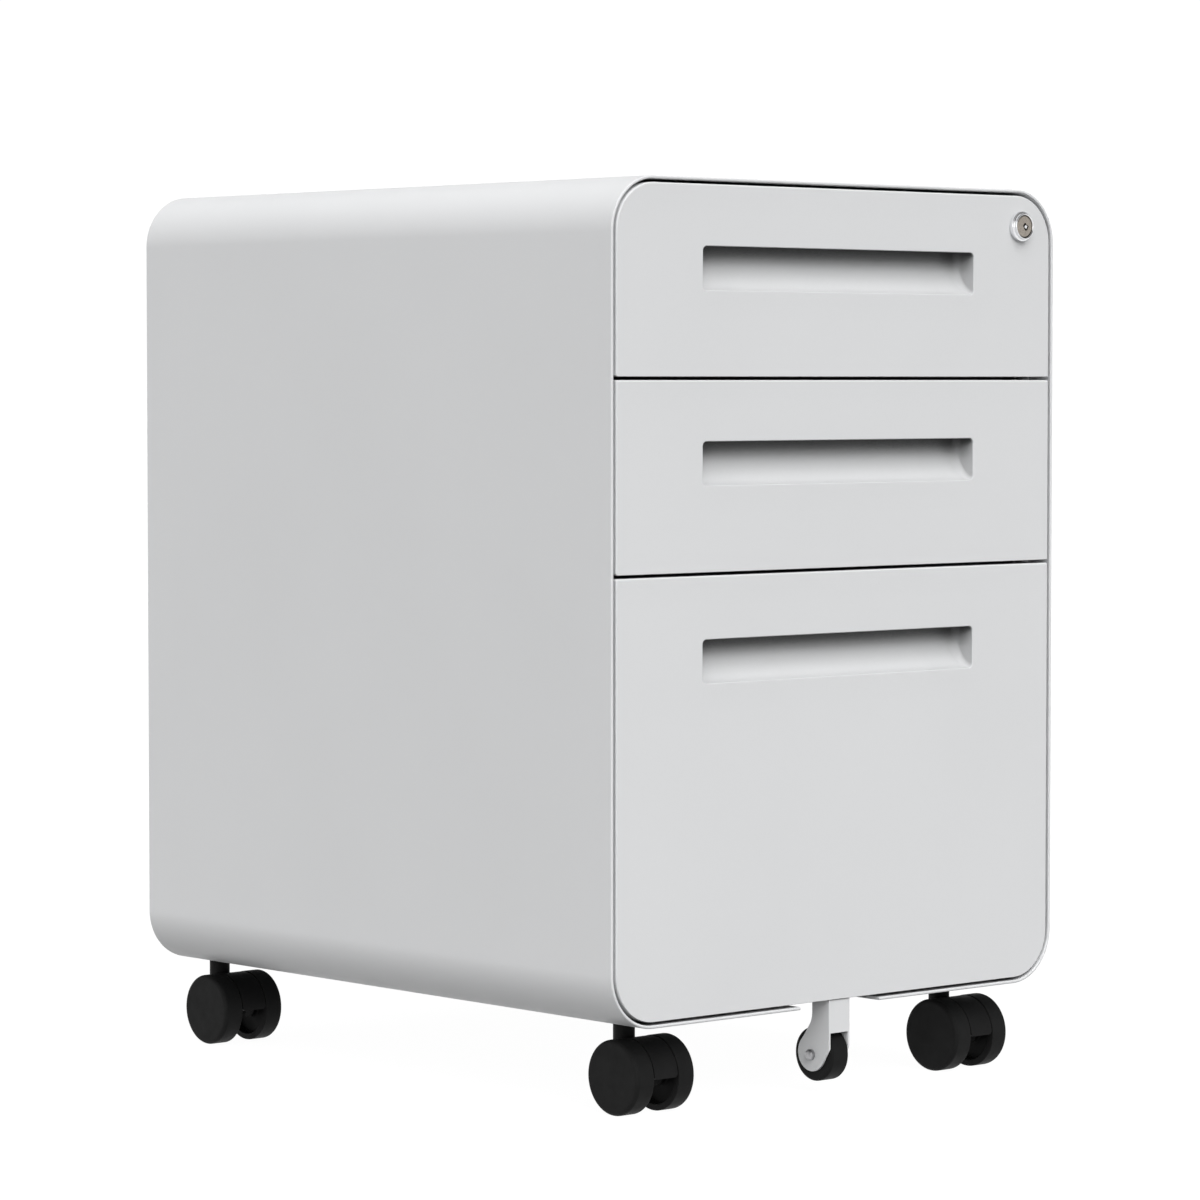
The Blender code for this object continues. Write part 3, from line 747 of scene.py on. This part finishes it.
# the keyway's wide mouth, with a sprung shutter across its right half
mouth = [(0.0, 2.3), (-0.9, 1.2), (-1.6, 0.3), (-0.6, -1.0), (0.5, -2.6), (1.3, -2.9), (2.6, -2.0), (3.85, 0.3), (1.5, 1.2), (1.25, 2.1)]
mouth = soften([(LOCK_X + a, LOCK_Z + b) for a, b in mouth], 0.25, 2)
core = shaped(core, ("cut", prism(mouth, "y", F - 8, F + 7)))
piece("lock_plug", bevelled(core, 0.12, 2, 60), NICKEL, "lock_core", "lock_core")
shutter = soften([(LOCK_X + a, LOCK_Z + b) for a, b in [(1.35, 1.0), (0.3, -0.45), (2.4, -1.8), (3.6, 0.25)]], 0.3, 3)
shutter = loft([at_y(shutter, F - 4.0), at_y(shutter, F - 0.5)])
piece("lock_shutter", bevelled(shutter, 0.15, 2, 50), CHROME, "lock_core", ())

low, high = box("lock_cam")
pin = (LOCK_X + 6 * math.cos(math.radians(45)), 0, LOCK_Z - 6 * math.sin(math.radians(45)))
cam = shaped(
    rod(lock_at, "y", 9.0, F + 25.3, F + 27.3, 64, 0.3),
    ("join", rod(pin, "y", 2.0, F + 26.0, F + 33.0, 32, 0.3)),
)
piece("lock_cam_disc", cam, ZINC, "lock_core", "lock_cam")

nut = shaped(
    turned([(13.0 * 0.96, F + 17.8), (13.0, F + 18.3), (13.0, F + 20.3), (13.0 * 0.96, F + 20.8)], lock_at, "y", 6),
    ("cut", turned([(9.3, F + 12), (9.3, F + 26)], lock_at, "y", 64)),
)
piece("lock_nut_hex", bevelled(nut, 0.15, 1, 50), ZINC, "top_drawer", "lock_nut")

low, high = box("lock_bar")
bar_steps = [
    ("join", block(pin[0] - 5.6, 185.0, F + 29, F + 31, pin[2] - 5.5, pin[2] + 4.5)),
    ("cut", prism(soften([(pin[0] - 2.8, pin[2] - 2.5), (pin[0] + 5.2, pin[2] - 2.5), (pin[0] + 5.2, pin[2] + 2.5), (pin[0] - 2.8, pin[2] + 2.5)], 2.4, 8), "y", F + 22, F + 36)),
]
for catch in (TOP - 58, TOP - 168, TOP - 290):
    bar_steps.append(("join", prism(soften([(176.0, catch - 9.5), (184.6, catch - 9.5), (184.6, catch - 1.5), (176.0, catch - 1.5)], [1.5, 0, 0, 1.5], 4), "y", F + 26, F + 28)))
bar = shaped(block(183.6, 185.6, F + 24, F + 34, low.z, TOP - 26), *bar_steps)
piece("locking_bar", bevelled(bar, 0.2, 2, 50), ZINC_UP, "lock_bar", "lock_bar")

# ---------------------------------------------------------------- anti-tip wheel
low, high = box("anti_tip_wheel")
TIP_Y, TIP_Z, TIP_R = (low.y + high.y) / 2, (low.z + high.z) / 2, (high.z - low.z) / 2
TIP_R = max(TIP_R, 17.3)
ear = [(F + 1.0, BASE + 3.7), (F + 1.0, BASE - 27.5)]
ear += arc(F + 17.1, BASE - 31.3, 11.9, 210, 395, 40)
ear += [(F + 22.5, BASE - 19.1), (F + 16.2, BASE - 9.6), (F + 16.2, BASE + 3.7)]
ear = soften(ear, [0] * (len(ear) - 2) + [14.0, 0], 10)
fork = prism(ear, "x", -9.2, 9.2)
steps = [
    ("cut", prism(soften([(-7.7, F + 2.5), (7.7, F + 2.5), (7.7, F + 40), (-7.7, F + 40)], [0.9, 0.9, 0, 0], 4), "z", BASE - 60, BASE + 2.2)),
    ("cut", block(-7.7, 7.7, F - 5, F + 6, BASE - 60, BASE - 17.5)),
    ("cut", turned([(2.8, -15), (2.8, 15)], (0, TIP_Y, TIP_Z), "x", 40)),
]
piece("tip_fork", bevelled(shaped(fork, *steps), 0.4, 3, 50), PAINT, "bottom_drawer", "anti_tip_bracket")

tread = [(2.8, -7.4), (TIP_R - 2.2, -7.4)]
for k in range(1, 7):
    t = math.radians(90 * k / 6)
    tread.append((TIP_R - 2.2 + 2.2 * math.sin(t), -7.4 + 1.6 * (1 - math.cos(t))))
for k in range(0, 7):
    t = math.radians(90 * k / 6)
    tread.append((TIP_R - 2.2 + 2.2 * math.cos(t), 7.4 - 1.6 * (1 - math.sin(t))))
tread.append((2.8, 7.4))
piece("tip_roller", turned(tread, (0, TIP_Y, TIP_Z), "x", 96, closed=True), TREAD, "anti_tip_wheel", "anti_tip_wheel")

head = [(0, -12.5), (1.9, -12.4), (2.8, -12.1), (3.25, -11.6), (3.4, -11.0), (3.4, -9.55), (2.5, -9.5)]
axle = head + [(r, -h) for r, h in reversed(head)]
piece("tip_rivet", turned(axle, (0, TIP_Y, TIP_Z), "x", 48), RIVET, "bottom_drawer", "anti_tip_axle")


# ---------------------------------------------------------------- casters
def hood_body(x, wy, wz):
    """The moulded shroud between the wheels, its front lip rounded at the corners."""
    outer, inner, half = 23.5, 20.1, 9.8
    first, last = 180.0, 8.0
    rows = 72
    corner = 2.6
    bm = bmesh.new()
    rings = []
    for k in range(rows + 1):
        # rows bunch up at the front lip, where the corners turn
        s = k / rows
        angle = first + (last - first) * (s ** 1.5)
        run = math.radians(first - angle) * outer  # distance from the lip
        w = half if run >= corner else half - (corner - math.sqrt(max(0.0, corner ** 2 - (corner - run) ** 2)))
        w = max(w, half - corner)
        t = math.radians(angle)
        e = 0.5
        section = [(inner, -w), (outer - e, -w), (outer - e * 0.3, -w + e * 0.3), (outer, -w + e), (outer, w - e), (outer - e * 0.3, w - e * 0.3), (outer - e, w), (inner, w)]
        rings.append(ring(bm, [(x + a, wy + r * math.cos(t), wz + r * math.sin(t)) for r, a in section]))
    for a, b in zip(rings, rings[1:]):
        strip(bm, a, b)
    bm.faces.new(rings[0])
    bm.faces.new(rings[-1])
    return bm


for tag, (cx, cy) in CASTERS.items():
    low, high = box(f"caster_{tag}_axle")
    wy, wz = (low.y + high.y) / 2, (low.z + high.z) / 2
    swivel = f"caster_{tag}_swivel"
    piece(f"{tag}_stud", rod((cx, cy, 0), "z", 4.0, 33.0, BASE + 24.0, 48, 0.8), ZINC_UP, "cabinet", f"caster_{tag}_stem")
    neck = turned([(0, 27.0), (6.9, 27.0), (6.9, 54.9), (6.75, 56.4), (6.3, 56.9), (0, 56.9)], (cx, cy, 0), "z", 64)
    web = arc(wy, wz, 22.0, 8, 172, 48) + arc(wy, wz, 7.5, 180, 360, 24)
    hood = shaped(
        hood_body(cx, wy, wz),
        ("join", prism(web, "x", cx - 5.2, cx + 5.2)),
        ("join", neck),
        ("cut", turned([(4.3, 31.0), (4.3, BASE + 6)], (cx, cy, 0), "z", 48)),
        ("cut", turned([(3.3, -20), (3.3, 20)], (cx, wy, wz), "x", 48)),
    )
    piece(f"{tag}_hood", hood, NYLON, swivel, f"caster_{tag}_hood", sharp=32)
    piece(f"{tag}_axle_pin", rod((cx, wy, wz), "x", 3.0, -20.5, 20.5, 48, 0.5), ZINC, swivel, f"caster_{tag}_axle")
    for word, side in (("left", -1), ("right", 1)):
        a, b, R = 9.8 + 0.5, 24.2, 23.7
        profile = [(3.3, 21.0), (3.3, a + 1.2), (3.5, a + 1.0), (7.6, a + 1.0), (8.0, a + 1.4), (8.0, a + 4.6), (8.6, a + 5.2), (18.8, a + 5.2), (19.5, a + 4.6), (19.5, a + 0.4), (19.9, a)]
        for k in range(4):
            t = math.radians(90 * k / 3)
            profile.append((R - 0.6 * (1 - math.sin(t)), a + 0.6 * (1 - math.cos(t))))
        for k in range(9):
            t = math.radians(90 * k / 8)
            profile.append((R - 2.6 * (1 - math.cos(t)), b - 2.6 * (1 - math.sin(t))))
        profile += [(R - 3.4, b), (0, b), ]
        # the bore is blind: its floor closes the outer face
        loop = [(0, 21.0)] + profile
        piece(f"{tag}_wheel_{word}", turned([(r, side * h) for r, h in loop], (cx, wy, wz), "x", 96), TREAD, f"caster_{tag}_wheel_{word}", f"caster_{tag}_wheel_{word}", sharp=32)

# ---------------------------------------------------------------- floor, light and camera
def stage_material(name, grey, glow):
    mat = bpy.data.materials.new(name)
    mat.use_nodes = True
    shader = mat.node_tree.nodes["Principled BSDF"]
    shader.inputs["Base Color"].default_value = (grey, grey, grey, 1)
    shader.inputs["Roughness"].default_value = 1.0
    shader.inputs["Specular IOR Level"].default_value = 0.0
    shader.inputs["Emission Color"].default_value = (1, 1, 1, 1)
    shader.inputs["Emission Strength"].default_value = glow
    return mat


def stage_piece(name, bm, mat):
    mesh = bpy.data.meshes.new(name)
    bm.to_mesh(mesh)
    bm.free()
    mesh.materials.append(mat)
    obj = bpy.data.objects.new(name, mesh)
    bpy.context.scene.collection.objects.link(obj)
    obj.visible_diffuse = False
    obj.visible_glossy = False
    obj.visible_shadow = False
    obj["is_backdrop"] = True
    return obj


bm = bmesh.new()
bm.faces.new([bm.verts.new((14 * math.cos(math.radians(7.5 * k)), 14 * math.sin(math.radians(7.5 * k)), 0)) for k in range(48)])
stage_piece("floor", bm, stage_material("floor_white", 0.08, 0.97))
bm = bmesh.new()
rings = []
for k in range(13):
    t = math.radians(90 * k / 13)
    rings.append([bm.verts.new((14 * math.cos(t) * math.cos(math.radians(7.5 * j)), 14 * math.cos(t) * math.sin(math.radians(7.5 * j)), 14 * math.sin(t) - 0.01)) for j in range(48)])
for p, q in zip(rings, rings[1:]):
    strip(bm, p, q)
bm.faces.new(rings[-1])
stage_piece("backdrop", bm, stage_material("backdrop_white", 0.0, 1.05))

world = bpy.data.worlds.new("studio")
bpy.context.scene.world = world
world.use_nodes = True
nodes, links = world.node_tree.nodes, world.node_tree.links
background = nodes["Background"]
coordinate = nodes.new("ShaderNodeTexCoord")
split = nodes.new("ShaderNodeSeparateXYZ")
links.new(coordinate.outputs["Generated"], split.inputs["Vector"])


def levels(axis, stops):
    """A grey level that changes along one axis of the room, from -1 to 1."""
    lift = nodes.new("ShaderNodeMapRange")
    lift.inputs["From Min"].default_value = -1
    lift.inputs["From Max"].default_value = 1
    links.new(split.outputs[axis], lift.inputs["Value"])
    node = nodes.new("ShaderNodeValToRGB")
    ramp = node.color_ramp
    while len(ramp.elements) > 1:
        ramp.elements.remove(ramp.elements[-1])
    ramp.elements[0].position, ramp.elements[0].color = (stops[0][0] + 1) / 2, (stops[0][1],) * 3 + (1,)
    for at, level in stops[1:]:
        ramp.elements.new((at + 1) / 2).color = (level,) * 3 + (1,)
    links.new(lift.outputs["Result"], node.inputs["Fac"])
    return node.outputs["Color"]


by_height = levels("Z", [(-1, 0.20), (-0.3, 0.26), (-0.05, 0.44), (0.08, 0.80), (0.5, 0.56), (1, 0.46)])
by_depth = levels("Y", [(-1, 0.22), (-0.4, 0.52), (0.1, 1.0), (1, 1.0)])
blend = nodes.new("ShaderNodeMix")
blend.data_type = "RGBA"
blend.blend_type = "MULTIPLY"
blend.inputs[0].default_value = 1.0
links.new(by_height, blend.inputs[6])
links.new(by_depth, blend.inputs[7])
# polished metal sees the white floor and walls and a dark ceiling
mirrored = levels("Z", [(-1, 0.95), (0.12, 0.95), (0.35, 0.45), (0.6, 0.12), (1, 0.30)])
path = nodes.new("ShaderNodeLightPath")
choice = nodes.new("ShaderNodeMix")
choice.data_type = "RGBA"
links.new(path.outputs["Is Glossy Ray"], choice.inputs[0])
links.new(blend.outputs[2], choice.inputs[6])
links.new(mirrored, choice.inputs[7])
links.new(choice.outputs[2], background.inputs["Color"])
background.inputs["Strength"].default_value = 1.0


def far_light(name, towards, width, strength):
    """A big soft source far away, so every height of the fronts gets the same light."""
    light = bpy.data.lights.new(name, "SUN")
    light.energy, light.angle = strength, math.radians(width)
    obj = bpy.data.objects.new(name, light)
    bpy.context.scene.collection.objects.link(obj)
    obj.rotation_mode = "QUATERNION"
    obj.rotation_quaternion = (-Vector(towards)).to_track_quat("-Z", "Y")
    return obj


# the key is matted, so polished edges mirror the dark ceiling and not the lamp
far_light("key", (-0.15, -0.72, 0.72), 58, 3.10).visible_glossy = False
far_light("left_fill", (-0.90, -0.20, 0.30), 50, 0.72)

camera = bpy.data.cameras.new("camera")
camera.lens = 137.57
camera.sensor_width = 36
camera.clip_start, camera.clip_end = 0.05, 60
camera_object = bpy.data.objects.new("camera", camera)
bpy.context.scene.collection.objects.link(camera_object)
camera_object.location = (-2.0379, -2.3012, 0.4546)
camera_object.rotation_euler = (math.radians(90 - 2.752), 0, math.radians(-41.587))
bpy.context.scene.camera = camera_object
bpy.context.scene.view_settings.view_transform = "Standard"

low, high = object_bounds()
